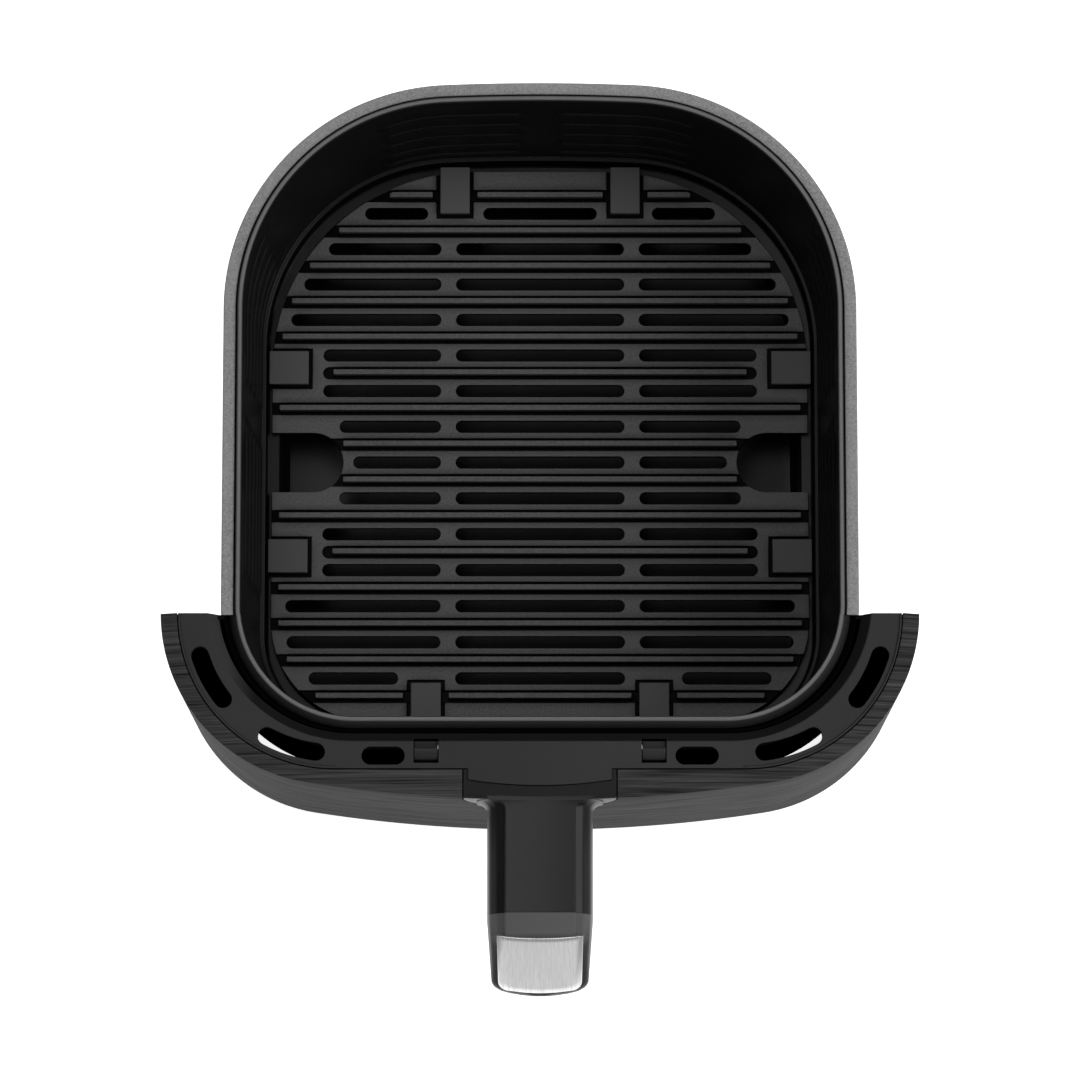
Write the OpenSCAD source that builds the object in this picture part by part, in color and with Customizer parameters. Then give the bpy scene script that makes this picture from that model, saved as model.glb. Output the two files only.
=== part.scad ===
// Drawer of an air fryer: coated pot in an outer shell, lift-out crisper plate, wrap-round front
// panel with a vented collar, and a handle. Millimetres.
// Origin: centre of the shell's base. +Z is up, the handle points along -Y, +X is to the right.

/* [Rim] */
// Half of the pot's width at the crest of its rim
rim_half_w = 114.3; // [112:0.1:115]
// Distance from the centre to the back of the rim
rim_back = 120.7; // [118:0.1:121]
// Distance from the centre to the front of the rim
rim_front = 120.6; // [119:0.1:121]
// Plan radius of the front corners
rim_r_front = 44; // [42:0.5:46]
// Plan radius of the back corners
rim_r_back = 81.3; // [78:0.1:83]
// Height of the rim above the surface the shell stands on
rim_z = 100.2; // [99.8:0.1:100.6]

/* [Pot] */
// Height of the ledge that carries the crisper plate
ledge_z = 24.3; // [24:0.1:24.3]
// Height of the inside of the floor
floor_z = 2.6; // [2.4:0.1:3]
// Sheet thickness of the pot
pot_t = 1; // [0.8:0.1:1.2]

/* [Outer shell] */
// Sheet thickness of the shell
shell_t = 1; // [0.8:0.1:1.2]
// How far the shell's wall stands outside the rim's crest
shell_out = 4.8; // [4.6:0.1:5]
// How far the flange stands outside the rim's crest
flange_out = 6.8; // [6.2:0.1:7]
// Height of the flange's top face
flange_z = 99; // [98.8:0.1:99.2]

/* [Crisper plate] */
// Half of the plate's width
plate_half_w = 105; // [104:0.1:105.2]
// Half of the plate's depth
plate_half_d = 110.1; // [109.5:0.1:110.4]
// Plan radius of the plate's back corners
plate_r_back = 79; // [77:0.5:80]
// Plan radius of the plate's front corners
plate_r_front = 40; // [38:0.5:42]
// Height of the plate's top face
land_z = 28; // [27.8:0.1:28.2]
// Thickness of the plate
plate_t = 2.6; // [2.4:0.1:2.8]
// Distance between rows of slots
row_pitch = 14.3; // [14.2:0.05:14.4]
// Width of each slot
slot_w = 4.8; // [4.4:0.1:5]
// Width of each cooking rib
rib_w = 2.1; // [2:0.1:2.4]
// Height of the ribs above the plate's top face
rib_h = 2.9; // [2.6:0.1:3.2]
// Width of the groove round each rib
groove_w = 4.8; // [4.4:0.1:5]
// Radius of the finger holes
finger_r = 11.8; // [11:0.1:12.4]

/* [Bumpers] */
// Height of the bumpers above the plate's top face
bumper_h = 2.5; // [2.2:0.1:2.8]
// How far the bumpers reach past the plate's edge
bumper_over = 1.2; // [0.9:0.1:1.3]
// Clearance between the bumpers and the ledge
bumper_gap = 0.3; // [0.2:0.05:0.4]

/* [Front panel] */
// Half of the panel's width over its outer edge
panel_half_w = 143.9; // [143:0.1:144.6]
// Distance from the centre to the panel's foremost point
panel_front = 151.9; // [151:0.1:152.4]
// Plan radius of the panel's corners
panel_r = 66.1; // [65:0.1:67]
// Distance from the centre to the ends of the panel's arms
arm_end = 80.6; // [80.4:0.1:82]
// Height of the panel's outer top edge
panel_top = 100; // [99.5:0.1:100.4]
// Height of the panel's bottom edge
panel_bottom = 4; // [3:0.5:6]
// How far the panel leans in at its bottom edge
panel_lean = 3; // [2.5:0.1:3.5]
// Thickness of the brushed skin
skin_t = 0.8; // [0.7:0.1:1]
// Thickness of the moulding behind the skin
backing_t = 3.2; // [3:0.1:3.4]

/* [Collar] */
// Height of the collar's top face
collar_z = 102; // [101.8:0.1:102.2]
// Distance from the centre to the collar's straight front edge
collar_front = 140.4; // [140:0.1:140.8]
// Plan radius of the collar's outer corners
collar_r = 59.7; // [59.2:0.1:60]
// Width of the sloped inner edge
facet_w = 3.9; // [3.6:0.1:4]
// Drop of the sloped inner edge
facet_drop = 4; // [3.5:0.1:4.5]
// Mean plan radius of the long vents about the collar's corner centres
vent_r = 53.6; // [53.2:0.1:54]
// Height of the lower edge of the skirt inside the panel
skirt_z = 45; // [40:1:60]
// Half of the width of the vents
vent_half = 3.4; // [3:0.1:3.6]

/* [Handle] */
// Half of the handle's width
handle_half_w = 20; // [19:0.1:21]
// Half of the width of the handle's flat top
handle_flat = 13; // [12:0.1:14]
// Half of the width of the handle's root where it passes through the panel
root_half_w = 28.8; // [28.4:0.1:29]
// Radius of the lower corners of the handle's root
root_r = 17; // [15:0.5:17.5]
// Height of the underside of the handle's root
root_bottom = 80; // [79.5:0.1:80.5]
// Distance from the centre to the end of the handle's flat top
grip_end = 194.6; // [192:0.1:196]
// Radius of the screw shanks
screw_r = 2; // [1.8:0.1:2.1]

/* [Hidden] */
$fn = 96;

cfx = rim_half_w - rim_r_front;
cfy = rim_r_front - rim_front;
cbx = rim_half_w - rim_r_back;
cby = rim_back - rim_r_back;

pcx = panel_half_w - panel_r;
pcy = -79.8;
p_bow_k = pcy + panel_front;
p_bow_r = (pcx * pcx + p_bow_k * p_bow_k - panel_r * panel_r) / (2 * (p_bow_k - panel_r));
p_bow_y = p_bow_r - panel_front;
p_bow_a = atan2(pcx, p_bow_y - pcy);

ccx = 77.6;
ccy = collar_r - collar_front;
icx = 71.5;
icy = -75.5;
inner_r = 50.6;

far = 400;
pad_y = -140;
deck_z = panel_top - skin_t - 0.2;
under_slope = 0.2318;
slope_a = atan2(96.2 - 76.3, 219.8 - 202.4);

// Body between two heights whose plan is the rim's crest grown by o0 below and o1 above.
module tub(z0, z1, o0, o1) {
    h = z1 - z0;
    for (sx = [-1, 1]) {
        translate([sx * cfx, cfy, z0])
            cylinder(h = h, r1 = rim_r_front + o0, r2 = rim_r_front + o1);
        translate([sx * cbx, cby, z0])
            cylinder(h = h, r1 = rim_r_back + o0, r2 = rim_r_back + o1, $fn = 144);
    }
    drafted_bar(cfx, [[cfy, z0], [-rim_front - o0, z0], [-rim_front - o1, z1], [cfy, z1]]);
    drafted_bar(cbx, [[cby, z0], [rim_back + o0, z0], [rim_back + o1, z1], [cby, z1]]);
    translate([0, cby, 0])
        rotate([90, 0, 0])
            linear_extrude(cby - cfy)
                polygon([
                    [-rim_half_w - o0, z0], [rim_half_w + o0, z0],
                    [rim_half_w + o1, z1], [-rim_half_w - o1, z1]
                ]);
}

// Bar along X from -w to w with the given outline in Y and Z.
module drafted_bar(w, outline) {
    rotate([90, 0, 90])
        linear_extrude(2 * w, center = true)
            polygon(outline);
}

// Coated pot with a rolled lip, drafted walls, a ledge for the plate and a shallow well.
module pot() {
    color([0.05, 0.05, 0.05])
        difference() {
            union() {
                tub(rim_z - 2.8, rim_z - 0.6, 1.6, 1.6);
                tub(rim_z - 0.6, rim_z, 1.6, 0.9);
                tub(30, rim_z - 2.7, -5.3 + pot_t, -0.6 + pot_t);
                tub(ledge_z - pot_t, 30.1, -7.2 + pot_t, -7.2 + pot_t);
                tub(floor_z + 3.9, ledge_z - pot_t + 0.1, -13.4 + pot_t, -12.3 + pot_t);
                tub(floor_z - pot_t, floor_z + 4, -17.2, -13.4 + pot_t);
                front_lip();
            }
            tub(31, rim_z + 0.1, -5.3, -0.6);
            tub(ledge_z, 31.1, -7.2, -7.2);
            tub(floor_z + 5, ledge_z + 0.1, -13.4, -12.3);
            tub(floor_z, floor_z + 5.1, -18.4, -13.4);
        }
}

// The lip rolls further outwards where it passes behind the panel.
module front_lip() {
    intersection() {
        union() {
            tub(rim_z - 2.8, rim_z - 1.6, 3.7, 3.7);
            tub(rim_z - 1.6, rim_z - 0.3, 3.7, 1.4);
        }
        translate([-far, -far, 0])
            cube([2 * far, far - arm_end, 200]);
    }
}

// Painted shell round the pot. Its flange stops where the panel's arms begin.
module outer_shell() {
    color([0.45, 0.45, 0.46])
        difference() {
            union() {
                tub(6, flange_z - 4, -1.5, shell_out);
                tub(0, 6.1, -7, -1.5);
                intersection() {
                    tub(flange_z - 1.3, flange_z, flange_out, flange_out);
                    translate([-far, -arm_end, 0])
                        cube([2 * far, far, 200]);
                }
                tub(flange_z - 4.1, flange_z - 1.2, shell_out, shell_out);
            }
            tub(shell_t, 7, -7 - shell_t, -1.5 - shell_t);
            tub(6.9, flange_z - 4, -1.5 - shell_t, shell_out - shell_t);
            tub(flange_z - 4.1, flange_z + 0.1, shell_out - shell_t, shell_out - shell_t);
        }
    color([0.45, 0.45, 0.46]) {
        difference() {
            intersection() {
                tub(flange_z - 1.3, flange_z, flange_out - 1, flange_out - 1);
                translate([-far, -arm_end, 0])
                    cube([2 * far, far, 200]);
            }
            tub(flange_z - 2, flange_z + 0.1, 1.75, 1.75);
        }
        difference() {
            tub(rim_z - 4, rim_z - 2.8, shell_out - 0.3, shell_out - 0.3);
            tub(rim_z - 4.1, rim_z - 2.7, 1, 1);
        }
    }
}

// Plan of the crisper plate shrunk by d.
module plate_plan(d) {
    bx = plate_half_w - plate_r_back;
    by = plate_half_d - plate_r_back;
    fx = plate_half_w - plate_r_front;
    fy = plate_half_d - plate_r_front;
    for (sx = [-1, 1]) {
        translate([sx * bx, by]) circle(plate_r_back - d, $fn = 144);
        translate([sx * fx, -fy]) circle(plate_r_front - d);
    }
    translate([-plate_half_w + d, -fy]) square([2 * (plate_half_w - d), fy + by]);
    translate([-bx, 0]) square([2 * bx, plate_half_d - d]);
    translate([-fx, -plate_half_d + d]) square([2 * fx, plate_half_d]);
}

// Slot with round ends from x = a to x = b on the row at y.
module slot_plan(a, b, y, w) {
    translate([a + w / 2, y - w / 2]) square([b - a - w, w]);
    translate([a + w / 2, y]) circle(w / 2, $fn = 24);
    translate([b - w / 2, y]) circle(w / 2, $fn = 24);
}

function row_y(k) = (7.5 - k) * row_pitch;

// Outer end of the outer slots in each row: they follow the plate's outline and its cut-outs.
function slot_end(k) =
    k == 1 ? 68.9 : k == 2 ? 83.1 : k == 3 ? 92.7 : k == 4 ? 97.7 :
    k == 5 || k == 6 || k == 10 || k == 11 ? 85 :
    k == 7 || k == 9 ? 78.5 : k == 8 ? 73.1 :
    k == 12 ? 99.3 : k == 13 ? 98.7 : 90;

function slot_start(k) = k == 1 ? 44.2 : k == 14 ? 55.3 : 38.9;

module slots() {
    for (k = [1 : 14]) {
        mid = k == 1 ? 22.3 : 33;
        slot_plan(-mid, mid, row_y(k), slot_w);
        for (sx = [0, 1])
            mirror([sx, 0])
                slot_plan(slot_start(k), slot_end(k), row_y(k), slot_w);
    }
}

// Half-round finger holes that open through the plate's side edges.
module finger_holes() {
    for (sx = [-1, 1])
        translate([sx * 88.8, -row_pitch / 2]) {
            circle(finger_r);
            translate([sx > 0 ? 0 : -30, -finger_r]) square([30, 2 * finger_r]);
        }
}

// Pads: centre, outward direction as a turn about Z, width, distance of the inner end from the edge.
function pad_at(name) =
    name == "bumper_back_left" ? [-33.5, plate_half_d, 90, 11.6, 17.6] :
    name == "bumper_back_right" ? [33.5, plate_half_d, 90, 11.6, 17.6] :
    name == "bumper_front_left" ? [-44.4, -plate_half_d, -90, 11.7, 15.1] :
    name == "bumper_front_right" ? [44.4, -plate_half_d, -90, 11.7, 15.1] :
    name == "bumper_side_back_left" ? [-plate_half_w, 30.4, 180, 13.3, 14.3] :
    name == "bumper_side_back_right" ? [plate_half_w, 30.4, 0, 13.3, 14.3] :
    name == "bumper_side_front_left" ? [-plate_half_w, -44.8, 180, 13.3, 14.3] :
    [plate_half_w, -44.8, 0, 13.3, 14.3];

PADS = [
    "bumper_back_left", "bumper_back_right", "bumper_front_left", "bumper_front_right",
    "bumper_side_back_left", "bumper_side_back_right",
    "bumper_side_front_left", "bumper_side_front_right"
];

// Footprint of a pad with side gaps g, in the pad's own frame: +X outwards, edge at x = 0.
module pad_foot(p, g, over) {
    translate([-p[4] - g, -p[3] / 2 - g]) square([p[4] + g + over, p[3] + 2 * g]);
}

module at_pad(p) {
    translate([p[0], p[1]]) rotate(p[2]) children();
}

function rib_end(y) =
    abs(y) > plate_half_d - 2 ? 0 :
    y > plate_half_d - plate_r_back ?
        plate_half_w - plate_r_back
        + sqrt(pow(plate_r_back - 2, 2) - pow(y - plate_half_d + plate_r_back, 2)) :
    y < -plate_half_d + plate_r_front ?
        plate_half_w - plate_r_front
        + sqrt(pow(plate_r_front - 2, 2) - pow(y + plate_half_d - plate_r_front, 2)) :
    plate_half_w - 2;

// Half length of the rib k, which lies between rows k and k + 1.
function rib_half(k) =
    k == 5 || k == 10 ? 81 :
    k == 7 || k == 8 ? 77 :
    rib_end(row_y(k + 0.5)) - 1;

// Cast plate with slots, ribs in grooves, finger holes and pockets for the pads.
module crisper_plate() {
    color([0.11, 0.11, 0.115]) {
        difference() {
            translate([0, 0, land_z - plate_t])
                linear_extrude(plate_t)
                    difference() {
                        plate_plan(0);
                        slots();
                        finger_holes();
                    }
            translate([0, 0, land_z - 1.3])
                linear_extrude(2)
                    for (k = [0 : 14])
                        if (k == 5 || k == 10)
                            slot_plan(-85, 85, row_y(k + 0.5), groove_w);
                        else
                            translate([-far / 2, row_y(k + 0.5) - groove_w / 2])
                                square([far, groove_w]);
            translate([0, 0, land_z - 1.2])
                linear_extrude(5)
                    for (name = PADS) {
                        p = pad_at(name);
                        at_pad(p) pad_foot(p, 1.4, 5);
                    }
            for (name = PADS) {
                p = pad_at(name);
                translate([0, 0, land_z - 5])
                    linear_extrude(8)
                        at_pad(p) translate([-7, 0]) circle(2.6, $fn = 32);
            }
        }
        intersection() {
            for (k = [0 : 14])
                rib(k);
            translate([0, 0, land_z - 2])
                linear_extrude(10)
                    difference() {
                        plate_plan(2);
                        for (name = PADS) {
                            p = pad_at(name);
                            at_pad(p) pad_foot(p, 3, 5);
                        }
                    }
        }
    }
}

module rib(k) {
    y = row_y(k + 0.5);
    a = rib_half(k);
    translate([-a, y - rib_w / 2, land_z - 1.6]) cube([2 * a, rib_w, rib_h + 1.6]);
}

// Soft pad: top block in the pocket, lip over the edge, foot below and a stem through the plate.
module bumper(name) {
    p = pad_at(name);
    low = ledge_z + bumper_gap;
    color([0.16, 0.16, 0.165]) {
        translate([0, 0, land_z - 1.1])
            linear_extrude(bumper_h + 1.1)
                at_pad(p) pad_foot(p, 0, bumper_over);
        translate([0, 0, low])
            linear_extrude(land_z + bumper_h - low)
                at_pad(p)
                    translate([0.35, -p[3] / 2]) square([bumper_over - 0.35, p[3]]);
        translate([0, 0, low])
            linear_extrude(land_z - plate_t - 0.1 - low)
                at_pad(p)
                    translate([-10.5, -p[3] / 2]) square([10.5 + bumper_over, p[3]]);
        translate([0, 0, low])
            linear_extrude(land_z - low)
                at_pad(p) translate([-7, 0]) circle(2.5, $fn = 32);
    }
}

module bumper_back_left() bumper("bumper_back_left");
module bumper_back_right() bumper("bumper_back_right");
module bumper_front_left() bumper("bumper_front_left");
module bumper_front_right() bumper("bumper_front_right");
module bumper_side_back_left() bumper("bumper_side_back_left");
module bumper_side_back_right() bumper("bumper_side_back_right");
module bumper_side_front_left() bumper("bumper_side_front_left");
module bumper_side_front_right() bumper("bumper_side_front_right");

// Body behind the panel's outer face, grown by o0 below and o1 above: two corners and a bow.
module front_body(z0, z1, o0, o1) {
    h = z1 - z0;
    difference() {
        union() {
            for (sx = [-1, 1])
                translate([sx * pcx, pcy, z0])
                    cylinder(h = h, r1 = panel_r + o0, r2 = panel_r + o1, $fn = 144);
            intersection() {
                translate([0, p_bow_y, z0])
                    cylinder(h = h, r1 = p_bow_r + o0 - 0.1, r2 = p_bow_r + o1 - 0.1, $fn = 1440);
                translate([0, 0, z0])
                    linear_extrude(h)
                        polygon([
                            [-pcx, -70], [pcx, -70], [pcx, pcy],
                            [pcx + 80 * sin(p_bow_a), pcy - 80 * cos(p_bow_a)],
                            [-pcx - 80 * sin(p_bow_a), pcy - 80 * cos(p_bow_a)],
                            [-pcx, pcy]
                        ]);
            }
        }
        translate([-far, -arm_end, z0 - 1])
            cube([2 * far, far, h + 2]);
    }
}

// Shape of the opening the handle's root passes through, seen from the front.
module root_plan(g) {
    w = root_half_w + g;
    translate([-w, root_bottom - g + root_r]) square([2 * w, 60]);
    translate([-w + root_r, root_bottom - g]) square([2 * (w - root_r), 60]);
    for (sx = [-1, 1])
        translate([sx * (w - root_r), root_bottom - g + root_r]) circle(root_r);
}

module root_cut(g) {
    translate([0, -100, 0])
        rotate([90, 0, 0])
            linear_extrude(100)
                root_plan(g);
}

module collar_plan(d) {
    intersection() {
        union() {
            for (sx = [-1, 1])
                translate([sx * ccx, ccy]) circle(collar_r - d, $fn = 144);
            translate([-ccx, -collar_front + d]) square([2 * ccx, 60]);
        }
        translate([-far, -far]) square([2 * far, far - arm_end]);
    }
}

// Space inside the collar's inner edge, grown by o0 below and o1 above.
module inner_body(z0, z1, o0, o1) {
    h = z1 - z0;
    for (sx = [-1, 1])
        translate([sx * icx, icy, z0])
            cylinder(h = h, r1 = inner_r + o0, r2 = inner_r + o1);
    rotate([90, 0, 90])
        linear_extrude(2 * icx, center = true)
            polygon([
                [icy, z0], [icy - inner_r - o0, z0], [icy - inner_r - o1, z1], [icy, z1]
            ]);
}

// Vent with round ends that follows the collar's corner between two turns about its centre.
module arc_vent(a0, a1) {
    translate([ccx, ccy])
        polygon(concat(
            [for (k = [0 : 8]) let (a = a0 + k * (a1 - a0) / 8)
                (vent_r + vent_half) * [cos(a), -sin(a)]],
            [for (k = [1 : 7]) let (t = k * 180 / 8)
                vent_r * [cos(a1), -sin(a1)]
                + vent_half * [cos(a1 + t), -sin(a1 + t)]],
            [for (k = [8 : -1 : 0]) let (a = a0 + k * (a1 - a0) / 8)
                (vent_r - vent_half) * [cos(a), -sin(a)]],
            [for (k = [7 : -1 : 1]) let (t = -k * 180 / 8)
                vent_r * [cos(a0), -sin(a0)]
                + vent_half * [cos(a0 + t), -sin(a0 + t)]]
        ));
}

module tongue_plan(g) {
    intersection() {
        translate([-27.2 - g, -160]) square([54.4 + 2 * g, 25]);
        translate([0, 170 - 146.6]) circle(170 + g, $fn = 720);
    }
}

// Vented collar between the panel and the pot, with a sloped inner edge.
module collar() {
    color([0.14, 0.14, 0.145])
        difference() {
            union() {
                translate([0, 0, deck_z + 0.05])
                    linear_extrude(collar_z - deck_z - 0.05)
                        collar_plan(0.2);
                translate([0, 0, collar_z - 2.6])
                    linear_extrude(2.6)
                        tongue_plan(0);
                intersection() {
                    inner_body(collar_z - 8, collar_z - 2.5, facet_w + 2, facet_w + 2);
                    translate([0, 0, collar_z - 8])
                        linear_extrude(6)
                            collar_plan(2);
                }
                skirt();
                translate([0, 0, collar_z - 0.1])
                    linear_extrude(0.5)
                        difference() {
                            collar_plan(0.2);
                            collar_plan(1);
                            translate([-77, -far]) square([154, 2 * far]);
                        }
            }
            inner_body(collar_z - 11, collar_z - facet_drop, 0, 0);
            inner_body(collar_z - facet_drop, collar_z + 0.1, 0, facet_w + 0.1);
            translate([0, 0, collar_z - 20])
                linear_extrude(30)
                    for (sx = [0, 1])
                        mirror([sx, 0]) {
                            arc_vent(17.5, 38);
                            arc_vent(61.5, 82.5);
                            slot_plan(51.1, 67.4, -135.3, 2 * vent_half);
                            translate([38.4, -138]) square([9.3, 9.4]);
                        }
        }
}

// Thin wall that hangs from the collar round the shell, higher in the middle for the bracket.
module skirt() {
    difference() {
        inner_body(skirt_z, collar_z - 7, facet_w + 1.5, facet_w + 1.5);
        inner_body(skirt_z - 1, collar_z - 4, facet_w, facet_w);
        translate([-far, -arm_end, 0])
            cube([2 * far, far, 200]);
        translate([-44, -far, 0])
            cube([88, far, 73]);
    }
}

// Sprung tab that comes up through a window in the collar and hooks over its edge.
module snap_tab(sx) {
    color([0.14, 0.14, 0.145])
        translate([sx * 43.05 - 4.4, 0, 0])
            rotate([90, 0, 90])
                linear_extrude(8.8)
                    polygon([
                        [-136.9, deck_z], [-136.9, 100.4], [-135.6, 101.5], [-133.6, 101.9],
                        [-132.6, 101.9], [-131.6, 101.1], [-129.6, 100.5], [-129.6, 99.6],
                        [-132.6, 99.6], [-132.6, deck_z]
                    ]);
}

module snap_tab_left() snap_tab(-1);
module snap_tab_right() snap_tab(1);

// Brushed skin: leaning outer face with a nearly flat rim on top.
module front_panel() {
    color([0.2, 0.2, 0.205])
        difference() {
            union() {
                front_body(panel_bottom, panel_top, -panel_lean, 0);
                front_body(panel_top, collar_z, 0, -6.2);
            }
            front_body(panel_bottom - 1, panel_top - skin_t, -panel_lean - skin_t, -skin_t);
            translate([0, 0, panel_top - 5])
                linear_extrude(20)
                    collar_plan(0);
            root_cut(0.3);
        }
}

// Moulded wall and deck behind the skin. The deck carries the collar, the pad takes the screws.
module panel_backing() {
    in = skin_t + 0.1;
    color([0.1, 0.1, 0.1])
        difference() {
            union() {
                difference() {
                    front_body(panel_bottom + 2, deck_z, -panel_lean - in, -in);
                    front_body(
                        panel_bottom + 1, deck_z - 1.8, -panel_lean - in - backing_t,
                        -in - backing_t);
                }
                translate([-30, -147.1, 30]) cube([60, pad_y + 147.1, 40]);
                arm_pockets();
            }
            inner_body(deck_z - 3, deck_z + 1, facet_w + 2.3, facet_w + 2.3);
            translate([0, 0, deck_z - 2.9])
                linear_extrude(6)
                    difference() {
                        collar_plan(1.6);
                        translate([-50.5, -far]) square([101, far]);
                    }
            root_cut(0.3);
            at_panel_screws() cylinder(h = 9, r = screw_r + 0.1, $fn = 48);
        }
}

// Shelf and end wall that close each of the panel's arms up to the shell.
module arm_pockets() {
    in = skin_t + 0.5;
    low = panel_bottom + 2;
    difference() {
        intersection() {
            front_body(low, deck_z - 1, -panel_lean - in, -in);
            union() {
                translate([-far, -110, low]) cube([2 * far, 110 - arm_end, 2]);
                translate([-far, -arm_end - 1.8, low]) cube([2 * far, 1.8, deck_z - low - 1]);
            }
        }
        tub(low - 1, flange_z - 4, -1.2, shell_out + 0.3);
        tub(flange_z - 4.1, flange_z + 1, shell_out + 0.3, shell_out + 0.3);
        inner_body(collar_z - 8.5, deck_z, facet_w + 2.3, facet_w + 2.3);
        difference() {
            inner_body(skirt_z - 1, deck_z, facet_w + 2, facet_w + 2);
            inner_body(skirt_z - 2, deck_z + 1, facet_w - 0.5, facet_w - 0.5);
        }
    }
}

// Places its children on the four panel screws, +Z of the child pointing to the front.
module at_panel_screws() {
    for (sx = [-1, 1], z = [40, 60])
        translate([sx * 20, pad_y + 3, z])
            rotate([90, 0, 0]) children();
}

module at_core_screws() {
    for (sx = [-1, 1])
        translate([sx * 12, pad_y, 78])
            rotate([90, 0, 0]) children();
}

// Pan-head screw with its seat at z = 0 and a round recess in the head.
module screw(len) {
    difference() {
        union() {
            cylinder(h = len, r = screw_r, $fn = 48);
            translate([0, 0, -2.2]) cylinder(h = 2.2, r = 3.6, $fn = 48);
        }
        translate([0, 0, -2.3]) cylinder(h = 1.4, r = 1.2, $fn = 6);
    }
}

// Folded steel bracket: a front plate on two webs whose feet are welded to the shell.
module pot_bracket() {
    color([0.6, 0.6, 0.62])
        difference() {
            union() {
                translate([-27, pad_y, 34]) cube([54, 3, 52]);
                for (sx = [-1, 1])
                    translate([sx * 25.5 - 1.5, pad_y, 34])
                        cube([3, 30, 36]);
                for (sx = [-1, 1])
                    translate([sx * 32 - 8, -126, 34])
                        cube([16, 16, 36]);
            }
            tub(6, flange_z - 4, -1.5 + 0.02, shell_out + 0.02);
            difference() {
                translate([-60, -130, 20]) cube([120, 30, 60]);
                tub(6, flange_z - 4, -1.5 + 2.5, shell_out + 2.5);
                for (sx = [-1, 1])
                    translate([sx * 25.5 - 1.5, -140, 20]) cube([3, 60, 60]);
            }
            at_panel_screws()
                translate([0, 0, -1]) cylinder(h = 6, r = screw_r + 0.1, $fn = 48);
            at_core_screws()
                translate([0, 0, -4]) cylinder(h = 6, r = screw_r + 0.1, $fn = 48);
        }
}

module bracket_screws() {
    color([0.7, 0.7, 0.7])
        at_panel_screws() screw(8.5);
}

// Steel bar inside the handle, turned down at its root and bolted to the bracket.
module handle_core() {
    color([0.6, 0.6, 0.62])
        difference() {
            union() {
                translate([-18, pad_y - 3, 72]) cube([36, 3, 18]);
                translate([-11, -190, 87]) cube([22, pad_y + 190, 3]);
            }
            at_core_screws()
                translate([0, 0, -1]) cylinder(h = 6, r = screw_r + 0.1, $fn = 48);
            at_grip_screws()
                translate([0, 0, -2]) cylinder(h = 20, r = screw_r + 0.1, $fn = 48);
        }
}

module core_screws() {
    color([0.7, 0.7, 0.7])
        translate([0, 3, 0]) at_core_screws() screw(8);
}

// Places its children on the two screws that rise into the handle from below.
module at_grip_screws() {
    for (y = [-164, -184])
        translate([0, y, 87]) children();
}

// Side view of the handle, drawn in Y and Z.
module handle_side() {
    translate([-219.2, 71.4]) circle(3.7);
    polygon([
        [-143.1, 101.4], [-grip_end, 100], [-202.4, 96.2], [-221.98, 73.84],
        [-222.9, 71.4], [-219.2, 67.7], [-206, 68.2], [-196, under_z(-196)],
        [-153.5, under_z(-153.5)], [-151.5, root_bottom + 3], [-143.1, root_bottom + 3]
    ]);
}

// Seen from above: parallel sides that narrow round the metal plate.
module handle_plan() {
    translate([-handle_half_w, -grip_end - 2]) square([2 * handle_half_w, grip_end - 140.6]);
    polygon([
        [-handle_half_w, -grip_end - 1.9], [handle_half_w, -grip_end - 1.9],
        [18.5, -216.8], [17, -219.3], [15, -220.5], [11.2, -221.7], [5.5, -222.6], [0, -223],
        [-5.5, -222.6], [-11.2, -221.7], [-15, -220.5], [-17, -219.3], [-18.5, -216.8]
    ]);
}

// Seen along Y: flat top with falling shoulders, and eased lower edges.
module handle_end_view() {
    polygon([
        [-handle_flat, 101.5], [handle_flat, 101.5], [handle_flat + 0.6, 100.6],
        [16.6, 98.6], [18.9, 95.2], [handle_half_w, 90.5], [handle_half_w, 60],
        [-handle_half_w, 60], [-handle_half_w, 90.5], [-18.9, 95.2],
        [-16.6, 98.6], [-handle_flat - 0.6, 100.6]
    ]);
}

// Outline of the metal plate shrunk by d, x across the handle and y down the slope.
module tip_plan(d) {
    r = 4.4;
    low = [
        for (a = [0 : 15 : 75]) [11.5 + (r - d) * cos(a), -23.6 - (r - d) * sin(a)],
        [5, -28.9 + d]
    ];
    polygon(concat(
        [[16.3 - d, -0.9 - d]], low,
        [for (k = [len(low) - 1 : -1 : 0]) [-low[k][0], low[k][1]]],
        [[-16.3 + d, -0.9 - d]]
    ));
}

// Puts its children on the sloped end of the handle, +Z of the child pointing outwards.
module at_tip() {
    translate([0, -202.4, 96.2])
        rotate([slope_a, 0, 0]) children();
}

// Moulded grip and root in one piece, hollow from below for the steel bar.
module handle() {
    color([0.13, 0.13, 0.135])
        difference() {
            union() {
                intersection() {
                    rotate([90, 0, 90])
                        linear_extrude(80, center = true)
                            handle_side();
                    linear_extrude(130)
                        handle_plan();
                    translate([0, -143.1, 0])
                        rotate([90, 0, 0])
                            linear_extrude(90)
                                handle_end_view();
                }
                intersection() {
                    translate([0, -43.1, 0])
                        root_cut(0);
                    union() {
                        front_body(panel_bottom, panel_top, -panel_lean, 0);
                        front_body(panel_top, collar_z, 0, -6.2);
                    }
                }
            }
            translate([0, 0, collar_z - 2.7])
                linear_extrude(9)
                    tongue_plan(0.1);
            translate([-11.3, -191, 86.7]) cube([22.6, 60, 3.6]);
            translate([-9, -196, 60]) cube([18, 38, 27]);
            cover_blank(12.3, 2.6, 0.2);
            at_tip()
                translate([0, 0, -1.5])
                    linear_extrude(5)
                        tip_plan(-0.1);
        }
}

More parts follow.
